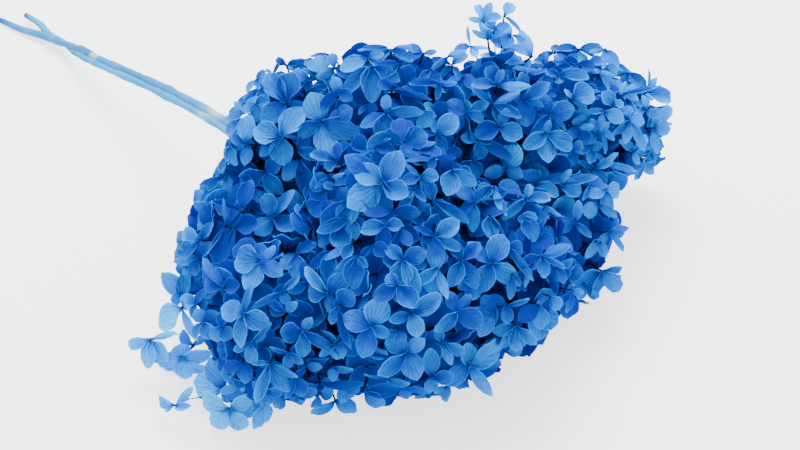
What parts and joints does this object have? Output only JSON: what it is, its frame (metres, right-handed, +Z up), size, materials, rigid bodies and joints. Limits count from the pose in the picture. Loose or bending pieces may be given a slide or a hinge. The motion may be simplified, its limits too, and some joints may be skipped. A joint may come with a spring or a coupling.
{
  "type": "preserved hydrangea stem",
  "caption": "Dyed preserved hydrangea head of crowded four-sepalled florets in rounded mounds, lying on its side on a long slender bare stem that parts into two cut ends.",
  "frame": {"origin": "middle of the object's outline, on the surface it lies on", "axes": "+X along the stem from its cut ends into the head, +Y towards the head's longer lobe, +Z up"},
  "size_m": [0.4402, 0.2633, 0.1041],
  "materials": {
    "stem": "pale blue dyed stem, matt",
    "sepals": "vivid blue dyed sepals, soft and matt",
    "loose_sepals": "paler blue dyed sepals, soft and matt"
  },
  "bodies": {
    "root": {"stem": "stem", "spray_crown": "sepals", "spray_shoulder": "sepals", "spray_middle": "sepals", "spray_top_right": "sepals", "spray_right": "sepals", "spray_far_right": "sepals", "spray_front": "sepals", "spray_front_left": "sepals", "spray_front_right": "sepals", "spray_low_right": "sepals", "spray_back_left": "sepals", "spray_back_right": "sepals", "spray_back_low": "sepals", "spray_left": "sepals", "spray_loose_left": "loose_sepals", "spray_loose_front": "loose_sepals", "spray_back_top": "loose_sepals"}
  },
  "joints": []
}
